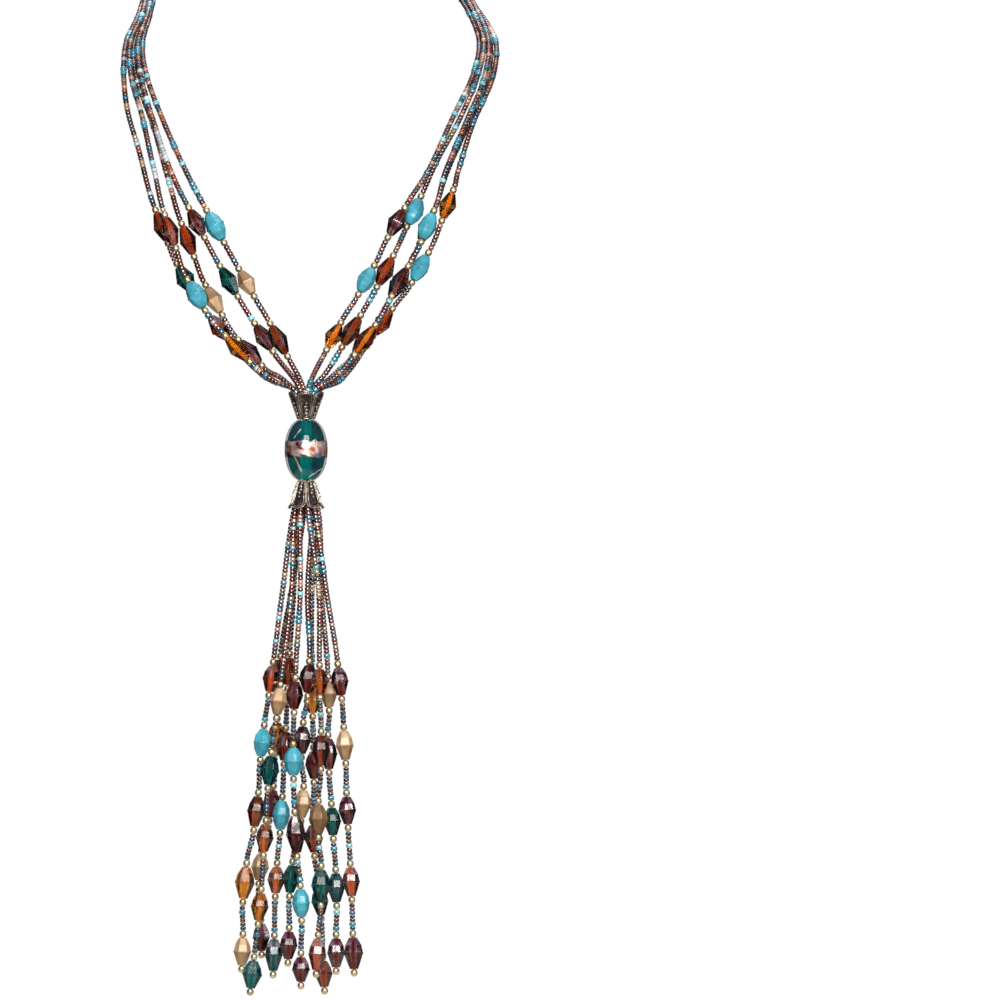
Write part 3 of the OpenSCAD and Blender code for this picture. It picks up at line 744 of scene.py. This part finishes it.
# Painted glow: the hole's lining glows in its tint, in streaks, to stand for light seen down the
# bore of a clear bead.
hole_place, hole_glow = finish_of("drilled_hole_painted_glow", Roughness=0.5, Emission_Strength=0.3)
hole_glow_tint = read_from(hole_place, "tint")
hole_glow_streak = noise(hole_place.vector_maths("MULTIPLY", (1, 1, 0.25)), 900, 2).band(0.2, 0.8)
dress(hole_place, Base_Color=hole_glow_tint,
      Emission_Color=(0.35 + hole_glow_streak * 0.65).pick((0.02, 0.01, 0.01), hole_glow_tint))


def bump(place, height, strength, distance):
    return place.node("Bump", Height=height, Strength=strength, Distance=distance)


solid_place, solid_glass = finish_of(
    "opaque_glass", IOR=1.5, Coat_Weight=0.2, Coat_Roughness=0.08)
solid_tint = read_from(solid_place, "tint")
solid_metal = read_from(solid_place, "lustre", "Fac")
solid_cloud = noise(solid_place, 260, 4).band(0.3, 0.75)
solid_crease = noise(solid_place.vector_maths("MULTIPLY", (1, 1, 0.3)), 1100, 3)
solid_deep = solid_tint.vector_maths("MULTIPLY", (0.62, 0.60, 0.58))
dress(solid_place, Metallic=solid_metal,
      Base_Color=solid_cloud.pick(solid_deep, solid_tint),
      Roughness=0.34 + solid_metal * 0.12 + solid_crease * 0.12,
      Normal=bump(solid_place, solid_crease, 0.35, 0.0002))


def stack_of(bm, rings, segments, closed=False):
    """Walls between flat rings, each (height, half width, half depth) in millimetres."""
    loops = []
    for z, wide, deep in rings:
        place = Matrix.Translation((0, 0, z * MM)) @ Matrix.Diagonal((wide * MM, deep * MM, 1, 1)) \
            @ Matrix.Rotation(math.radians(90), 4, "Z")
        ring = bmesh.ops.create_circle(bm, radius=1, segments=segments, matrix=place)["verts"]
        loops.append(list({edge for vert in ring for edge in vert.link_edges}))
    pairs = list(zip(loops, loops[1:])) + ([(loops[-1], loops[0])] if closed else [])
    for low, high in pairs:
        bmesh.ops.bridge_loops(bm, edges=low + high)


def glass_mould(share, fullness, shoulder):
    """One glass bead with its drilled hole, which has the second material. Fullness and
    shoulder say how far it has swelled halfway from its middle to its end, below and above."""
    half = GLASS_LENGTH * share / 2
    point = 2 / math.sqrt(3)
    tip = (GLASS_TIP / 2 * TIP_SPREAD, GLASS_TIP / 2 * point)
    middle = (GLASS_WIDE / 2, GLASS_THICK / 2 * point)
    upper, lower = [tuple(low + (high - low) * part for low, high in zip(tip, middle))
                    for part in (shoulder, fullness)]
    seam = GLASS_SEAM / 2
    beside = tuple(full - SEAM_STEP for full in middle)
    bm = bmesh.new()
    stack_of(bm, [(-half, BORE_D / 2, BORE_D / 2), (-half, *tip), (-half / 2, *upper),
                  (-2 * seam, *beside), (-seam, *middle),
                  (seam, *middle), (2 * seam, *beside), (half / 2, *lower), (half, *tip),
                  (half, BORE_D / 2, BORE_D / 2)], 6, closed=True)
    bmesh.ops.recalc_face_normals(bm, faces=bm.faces)
    # every edge is softened but those of the bore and of the seam
    outer = [edge for edge in bm.edges
             if all(vert.co.xy.length > 0.8 * BORE_D * MM for vert in edge.verts)
             and max(abs(vert.co.z) for vert in edge.verts) > 3 * seam * MM]
    bmesh.ops.bevel(bm, geom=outer, offset=EDGE_SOFT * MM, affect="EDGES", segments=2, profile=0.5,
                    material=-1, clamp_overlap=True)
    hole = bmesh.new()
    stack_of(hole, [(z, HOLE_RADIUS, HOLE_RADIUS) for z in (-half + HOLE_SHORT, half - HOLE_SHORT)],
             10)
    for end in (-1, 1):
        rim = [edge for edge in hole.edges if edge.is_boundary and edge.verts[0].co.z * end > 0]
        bmesh.ops.contextual_create(hole, geom=rim)
    bmesh.ops.recalc_face_normals(hole, faces=hole.faces)
    for face in hole.faces:
        face.material_index = 1
    for face in bm.faces[:] + hole.faces[:]:
        face.smooth = face.material_index == 1 or fullness == ROUNDED
    lining = mesh_of(hole, "hole")
    bm.from_mesh(lining)
    bpy.data.meshes.remove(lining)
    return mesh_of(bm, "glass")


glass_moulds = {}
for k in range(STRINGS):
    bm = bmesh.new()
    tints, lustres = [], []
    names = GLASS_ROWS[k].replace("/", " ").split()
    beads = [(i, row) for i, row in enumerate(ROUTES[k]) if row[1]]
    for name, (i, (place, _, share, turn, _)) in zip(names, beads):
        upper_tone_with_painted_light, lower_tone_with_painted_light, hole, lustre, opaque = GLASS_KINDS[name]
        on_neck = place.z > BEAD_TOP
        fullness = ROUNDED if name == "turquoise" else FACETED
        shoulder = fullness if on_neck else min(SHOULDER_MOST, fullness + SHOULDER_EXTRA)
        shape = (share, fullness, shoulder)
        if shape not in glass_moulds:
            glass_moulds[shape] = glass_mould(*shape)
        mould = glass_moulds[shape]
        inner = {v for face in mould.polygons if face.material_index == 1 for v in face.vertices}
        for v, vert in enumerate(mould.vertices):
            # Each half of a bead takes its own tone, so its light and shade are painted: one half
            # painted lit or glowing, the other painted darker.
            lower = (vert.co.z > 0) != on_neck
            tints.append((*(hole if v in inner else lower_tone_with_painted_light if lower else upper_tone_with_painted_light), 1))
            # The lustre is a real coating, painted weaker on one half as a painted reflection; gilt
            # beads carry a little metal instead.
            lustres.append(GILT_METAL if opaque == 2 else lustre * (0.3 if lower else 1))
        before = len(bm.faces)
        stamp(bm, mould, on_string(place, heading(ROUTES[k], i), turn))
        bm.faces.ensure_lookup_table()
        for face in bm.faces[before:] if opaque else ():
            face.material_index = 2
    piece = new_piece(f"glass_set_{k + 1}", bm, [clear_glass, hole_glow, solid_glass],
                      f"glass_beads_{k + 1}")
    paint(piece, "tint", tints)
    paint(piece, "lustre", lustres)
for mould in glass_moulds.values():
    bpy.data.meshes.remove(mould)


# Large bead: lampworked clear teal glass, almost black at its sides, turned on a rod, with a
# ragged belt of copper, gold and silver foil melted into it and short trails of silver. The
# ten threads run through its bore, which is lined with a painted teal glow so that it shows
# as a bright column.
bead_middle = Vector(((bead_low.x + bead_high.x) / 2, (bead_low.y + bead_high.y) / 2,
                      (BEAD_TOP + BEAD_BOTTOM) / 2))
bead_length = BEAD_TOP - BEAD_BOTTOM
bead_wide = bead_high.x - bead_low.x
BEAD_END, PLUMP = 7.0, 2.2
CORE_SHARE, CORE_SHORTER = 0.87, 0.25
GLOW_RADIUS, GLOW_HALF = BEAD_BORE / 2 + 0.6, bead_length * 0.475

glass_place, bead_glass = finish_of(
    "large_bead_glass", Transmission_Weight=1.0, IOR=1.03, Roughness=0.02, Coat_Weight=0.7,
    Coat_Roughness=0.03, Base_Color=(0.84, 0.88, 0.88))
# Millimetres round the bead from its front, and up it from its middle.
bead_place = glass_place.vector_maths("SUBTRACT", tuple(bead_middle * MM))
across = bead_place.node("SeparateXYZ", {}, "X", Vector=bead_place)
ahead = 0 - bead_place.node("SeparateXYZ", {}, "Y", Vector=bead_place)
round_it = across.maths("ARCTAN2", across, ahead) * (bead_wide / 2)
up_it = bead_place.node("SeparateXYZ", {}, "Z", Vector=bead_place) * 1000
ragged = noise(bead_place, 330, 4) - 0.5
BELT_MIDDLE, BELT_HALF = 0.4, 3.3
FOIL_PATCHES = [
    # ends across and up from the bead's middle, width, tone
    (-3.6, -0.6, 0.4, -1.2, 1.5, (0.78, 0.58, 0.55)),
    (0.8, -2.0, 1.6, -2.2, 0.9, (0.90, 0.72, 0.46)),
    (1.4, 0.9, 3.2, 0.2, 1.8, (0.50, 0.15, 0.08)),
    (3.9, -1.8, 6.6, -2.4, 1.2, (0.16, 0.20, 0.46)),
    (-2.2, 2.8, -1.2, 2.4, 1.0, (0.10, 0.10, 0.30)),
    (-0.9, 2.0, 1.0, 1.4, 1.4, (0.84, 0.83, 0.86)),
]
SILVER_TRAILS = [(-5.5, 4.7, -2.9, 8.1, 0.5), (2.2, -10.7, 10.0, -6.7, 0.55),
                 (6.0, 1.7, 9.6, 2.9, 0.5)]
COPPER_TRAIL = (-5.7, -0.7, -2.4, -8.3, 0.6)


def trail(x0, z0, x1, z1, width):
    """Mask of a foil trail between two places on the bead's face, both in millimetres."""
    run, rise = x1 - x0, z1 - z0
    share = ((round_it - x0) * run + (up_it - z0) * rise) / (run * run + rise * rise)
    share = share.maths("MINIMUM", share.larger(0.0), 1.0)
    off_x = round_it - x0 - share * run
    off_z = up_it - z0 - share * rise
    far = (off_x * off_x + off_z * off_z) ** 0.5 + ragged * 1.6
    return 1 - far.band(width * 0.3, width * 0.8)


off_belt = up_it - BELT_MIDDLE
off_belt = off_belt.maths("ABSOLUTE", off_belt) + ragged * 3.0
belt = 1 - off_belt.band(BELT_HALF - 0.5, BELT_HALF + 0.3)
torn = noise(bead_place, 420, 3).band(0.30, 0.38)
silver = trail(*SILVER_TRAILS[0])
for ends in SILVER_TRAILS[1:]:
    silver = silver.larger(trail(*ends))
copper = trail(*COPPER_TRAIL)
foil_mask = (belt * torn).larger(silver).larger(copper)
patch = noise(bead_place, 260, 3)
foil_tone = patch.node("ValToRGB", {"stops": [
    (0.30, (0.02, 0.03, 0.08)), (0.38, (0.22, 0.07, 0.06)), (0.47, (0.58, 0.28, 0.22)),
    (0.56, (0.74, 0.54, 0.47)), (0.68, (0.80, 0.78, 0.82))]}, Fac=patch)
for x0, z0, x1, z1, width, tone in FOIL_PATCHES:
    foil_tone = trail(x0, z0, x1, z1, width).pick(foil_tone, tone)
foil_tone = copper.pick(foil_tone, (0.84, 0.68, 0.60))
foil_tone = silver.pick(foil_tone, (0.86, 0.87, 0.86))
foil_glaze = glass_place.node(
    "BsdfPrincipled", Base_Color=foil_tone, Metallic=0.8, Roughness=0.42,
    Coat_Weight=0.3, Coat_Roughness=0.06,
    Normal=bump(bead_place, noise(bead_place, 700, 4), 0.4, 0.0003))
clear_wall = Wire(glass_place.tree, glass_place.tree.nodes["Principled BSDF"].outputs[0])
bead_mix = glass_place.node("MixShader", i0=foil_mask, i1=clear_wall, i2=foil_glaze)
glass_place.feed(glass_place.tree.nodes["Material Output"].inputs["Surface"], bead_mix)

dark_place, dark_glass = finish_of(
    "dark_teal_glass", Transmission_Weight=1.0, IOR=1.04, Roughness=0.0)
dark_swirl = noise(dark_place, 120, 3).band(0.4, 0.65)
dress(dark_place,
      Base_Color=dark_swirl.pick((0.012, 0.16, 0.15), (0.02, 0.06, 0.10)))
# Painted glow: the lining of the bore glows teal, to stand for light seen down it through the
# glass.
column_place, column_glow = finish_of(
    "bore_column_painted_glow", Roughness=0.5, Emission_Strength=2.4)
column_glow_tone = noise(column_place.vector_maths("MULTIPLY", (1, 1, 0.2)), 700, 3).band(0.2, 0.8)
column_glow_tone = column_glow_tone.pick((0.0, 0.34, 0.28), (0.0, 0.60, 0.50))
dress(column_place, Base_Color=column_glow_tone, Emission_Color=column_glow_tone)


def spun(bm, outline, sides, material=0):
    """Spins a closed outline of (radius, height) in millimetres round the vertical."""
    corners = [bm.verts.new((radius * MM, 0, z * MM)) for radius, z in outline]
    edges = [bm.edges.new(pair) for pair in zip(corners, corners[1:] + corners[:1])]
    before = set(bm.faces)
    bmesh.ops.spin(bm, geom=corners + edges, cent=(0, 0, 0), axis=(0, 0, 1), angle=math.tau,
                   steps=sides, use_merge=True)
    for face in set(bm.faces) - before:
        face.material_index = material
        face.smooth = True


def bead_outline(shrink, bore):
    """Half of an oval with a bore; one that is shrunk across is also a little shorter."""
    half, steps = bead_length / 2, 26
    pole = half / (1 - (BEAD_END / bead_wide) ** PLUMP) ** (1 / PLUMP)
    outline = []
    for i in range(steps + 1):
        z = -half + bead_length * i / steps
        outline.append((bead_wide / 2 * shrink * (1 - (abs(z) / pole) ** PLUMP) ** (1 / PLUMP),
                        z * (1 - (1 - shrink) * CORE_SHORTER)))
    top = outline[-1][1]
    return [(bore, top), (bore, -top)] + outline


bm = bmesh.new()
spun(bm, bead_outline(1.0, BEAD_BORE / 2), 64)
spun(bm, bead_outline(CORE_SHARE, GLOW_RADIUS + 0.06), 48, 1)
spun(bm, [(GLOW_RADIUS - 0.1, -GLOW_HALF), (GLOW_RADIUS, -GLOW_HALF), (GLOW_RADIUS, GLOW_HALF),
          (GLOW_RADIUS - 0.1, GLOW_HALF)], 32, 2)
bmesh.ops.recalc_face_normals(bm, faces=bm.faces)
bmesh.ops.transform(bm, matrix=Matrix.Translation(bead_middle * MM), verts=bm.verts)
new_piece("large_bead", bm, [bead_glass, dark_glass, column_glow], "center_bead")


# Petal caps: two cones of six petals, cast in pewter, blackened and rubbed back so that the
# doubled wires and the grains shine. The threads hold them against the ends of the large bead.
PETALS, PETAL_TIP = 6, 2.6
CAP_SLANT = math.hypot(CAP_HEIGHT, (CAP_RIM - CAP_NECK) / 2)
CAP_LEAN = math.asin((CAP_RIM - CAP_NECK) / 2 / CAP_SLANT)
# A wire is (share of the petal's half width, distance from its rim, thickness), and a grain is
# (distance from the narrow end, width, distance aside).
WIRES = [(0.92, 0.3, 0.36), (0.68, 1.0, 0.28)]
GRAINS = [(1.3, 0.95, 0.2), (2.6, 1.3, 0.0), (4.1, 1.05, 0.25), (5.3, 1.35, -0.2),
          (6.9, 0.9, 0.1)]
GRAIN_FLAT = 0.6
COLLAR_WIRE, COLLAR_HEIGHT = 0.42, 0.45

pewter_place, pewter = finish_of("blackened_pewter")
pewter_grime = noise(pewter_place, 1000, 4)
pewter_rub = read_from(pewter_place, "relief", "Fac") * 0.8 + (pewter_grime - 0.5) * 2.4
pewter_rub = pewter_rub.band(0.1, 0.9)
pewter_warm = noise(pewter_place, 480, 3).band(0.36, 0.62)
pewter_warm = pewter_warm.pick((0.36, 0.27, 0.21), (0.82, 0.70, 0.57))
dress(pewter_place, Metallic=0.3 + pewter_rub * 0.5,
      Base_Color=pewter_rub.pick((0.02, 0.010, 0.014), pewter_warm),
      Roughness=0.5 - pewter_rub * 0.2, Normal=bump(pewter_place, pewter_grime, 0.5, 0.0001))


def on_cap(aside, slant, out):
    """Place on a petal: aside in millimetres of its arc, slant from the narrow end, out of it."""
    radius = CAP_NECK / 2 + slant * math.sin(CAP_LEAN)
    angle = aside / radius
    radius += out * math.cos(CAP_LEAN)
    return Vector((radius * math.cos(angle), radius * math.sin(angle),
                   slant * math.cos(CAP_LEAN) - out * math.sin(CAP_LEAN)))


def petal_wide(slant):
    """Half the width of a petal at this distance from the narrow end."""
    return (CAP_NECK / 2 + slant * math.sin(CAP_LEAN)) * math.pi / PETALS


def petal_edge(share, inset):
    """How far up the slant the petal reaches at this share of its half width."""
    return CAP_SLANT - PETAL_TIP + (PETAL_TIP - inset) * math.sqrt(max(0, 1 - share * share))


def border_path(share, inset):
    """Up one side of a petal, round its tip and down the other side, near its rim."""
    top = CAP_SLANT - PETAL_TIP
    steps, tip_steps = 8, 12
    slants = [0.35] + [i / steps * top for i in range(1, steps + 1)]
    path = [(-share * petal_wide(slant), slant) for slant in slants]
    for i in range(1, tip_steps):
        angle = math.pi * (1 - i / tip_steps)
        wide = share * math.cos(angle)
        slant = top + (PETAL_TIP - inset) * math.sin(angle)
        path.append((wide * petal_wide(slant), slant))
    return path + [(-aside, slant) for aside, slant in reversed(path[:len(slants)])]


def cap_mesh():
    """One cap, narrow end down, and for each of its vertices how far it stands out."""
    bm = bmesh.new()
    bmesh.ops.create_grid(bm, x_segments=10, y_segments=12, size=1)
    bmesh.ops.solidify(bm, geom=bm.faces[:], thickness=CAP_WALL * 0.8)
    for vert in bm.verts:
        share, rise = vert.co.x * 0.97, (vert.co.y + 1) / 2
        slant = rise * petal_edge(share, 0.1)
        hollow = 0.12 - 0.3 * (1 - share * share)
        vert.co = on_cap(share * petal_wide(slant), slant, vert.co.z - 0.1 + hollow) * MM
    plain = len(bm.verts)
    for share, inset, thick in WIRES:
        sweep_thread(bm, [on_cap(aside, slant, thick * 0.25)
                          for aside, slant in border_path(share, inset)], thick)
    for slant, wide, aside in GRAINS:
        stand = Matrix.Translation(on_cap(aside, slant, 0.05) * MM) \
            @ Matrix.Rotation(CAP_LEAN, 4, "Y") @ Matrix.Diagonal((GRAIN_FLAT, 1, 1, 1))
        bmesh.ops.create_uvsphere(bm, u_segments=10, v_segments=6, radius=wide / 2 * MM,
                                  matrix=stand)
    petal = mesh_of(bm, "petal")
    raised = [0.0] * plain + [1.0] * (len(petal.vertices) - plain)
    bm = bmesh.new()
    for i in range(PETALS):
        stamp(bm, petal, Matrix.Rotation(math.tau * (i + 0.5) / PETALS, 4, "Z"))
    raised *= PETALS
    before = len(bm.verts)
    collar = [(CAP_NECK / 2 - 0.2 + COLLAR_WIRE * math.cos(angle),
               COLLAR_HEIGHT + COLLAR_WIRE * math.sin(angle))
              for angle in [math.tau * i / 10 for i in range(10)]]
    spun(bm, collar, 48)
    raised += [0.8] * (len(bm.verts) - before)
    for face in bm.faces:
        face.smooth = True
    bmesh.ops.recalc_face_normals(bm, faces=bm.faces)
    bpy.data.meshes.remove(petal)
    return mesh_of(bm, "cap"), raised


cap_mould, cap_relief = cap_mesh()
cap_stands = {
    "upper_cap": Matrix.Translation(Vector((DROP.x, DROP.y, BEAD_TOP + FIT)) * MM),
    "lower_cap": Matrix.Translation(Vector((DROP.x, DROP.y, BEAD_BOTTOM - FIT)) * MM)
    @ Matrix.Diagonal((1, 1, -1, 1)) @ Matrix.Rotation(math.pi / PETALS, 4, "Z"),
}
for name, stand in cap_stands.items():
    bm = bmesh.new()
    bm.from_mesh(cap_mould)
    bmesh.ops.transform(bm, matrix=stand, verts=bm.verts)
    if stand.determinant() < 0:
        bmesh.ops.reverse_faces(bm, faces=bm.faces)
    piece = new_piece(f"petal_{name}", bm, [pewter], name)
    paint(piece, "relief", cap_relief)
bpy.data.meshes.remove(cap_mould)


# Clasp: a plain turned barrel behind the neck that screws together at its middle. Each half
# has a deep socket in which the five threads of its side are knotted and glued.
clasp_place, clasp_metal = finish_of("clasp_pewter", Metallic=1.0)
clasp_wear = noise(clasp_place, 420, 4)
dress(clasp_place, Roughness=0.26 + clasp_wear * 0.25,
      Base_Color=clasp_wear.band(0.35, 0.7).pick((0.20, 0.18, 0.155), (0.52, 0.47, 0.40)))
SOCKET_ROOM = 0.4
CLASP_BORE = 2 * ring_radius(PER_SIDE, THREAD_D) + THREAD_D + SOCKET_ROOM
bm = bmesh.new()
long, wide = CLASP_LENGTH / 2, CLASP_D / 2
for end in (-1, 1):
    # from the axis at the joint, over a turned groove, to the rim and down into the socket
    outline = [(0.0, end * 0.05), (wide - 0.35, end * 0.05), (wide - 0.1, end * 0.3),
               (wide - 0.1, end * (long - 2.6)), (wide - 0.35, end * (long - 2.4)),
               (wide - 0.1, end * (long - 2.1)), (wide, end * (long - 1.7)),
               (wide, end * (long - 0.5)), (wide - 0.3, end * (long - 0.1)),
               (wide - 0.6, end * long),
               (CLASP_BORE / 2, end * long), (CLASP_BORE / 2, end * (long - CLASP_SOCKET)),
               (0.0, end * (long - CLASP_SOCKET))]
    spun(bm, outline, 40)
bmesh.ops.remove_doubles(bm, verts=bm.verts, dist=1e-7)
bmesh.ops.dissolve_degenerate(bm, edges=bm.edges, dist=1e-8)
bmesh.ops.recalc_face_normals(bm, faces=bm.faces)
bmesh.ops.transform(bm, verts=bm.verts, matrix=Matrix.Translation((0, CLASP_D / 2 * MM, 0))
                    @ Matrix.Rotation(math.radians(90), 4, "Y"))
new_piece("barrel_clasp", bm, [clasp_metal], "clasp")

bpy.context.view_layer.update()
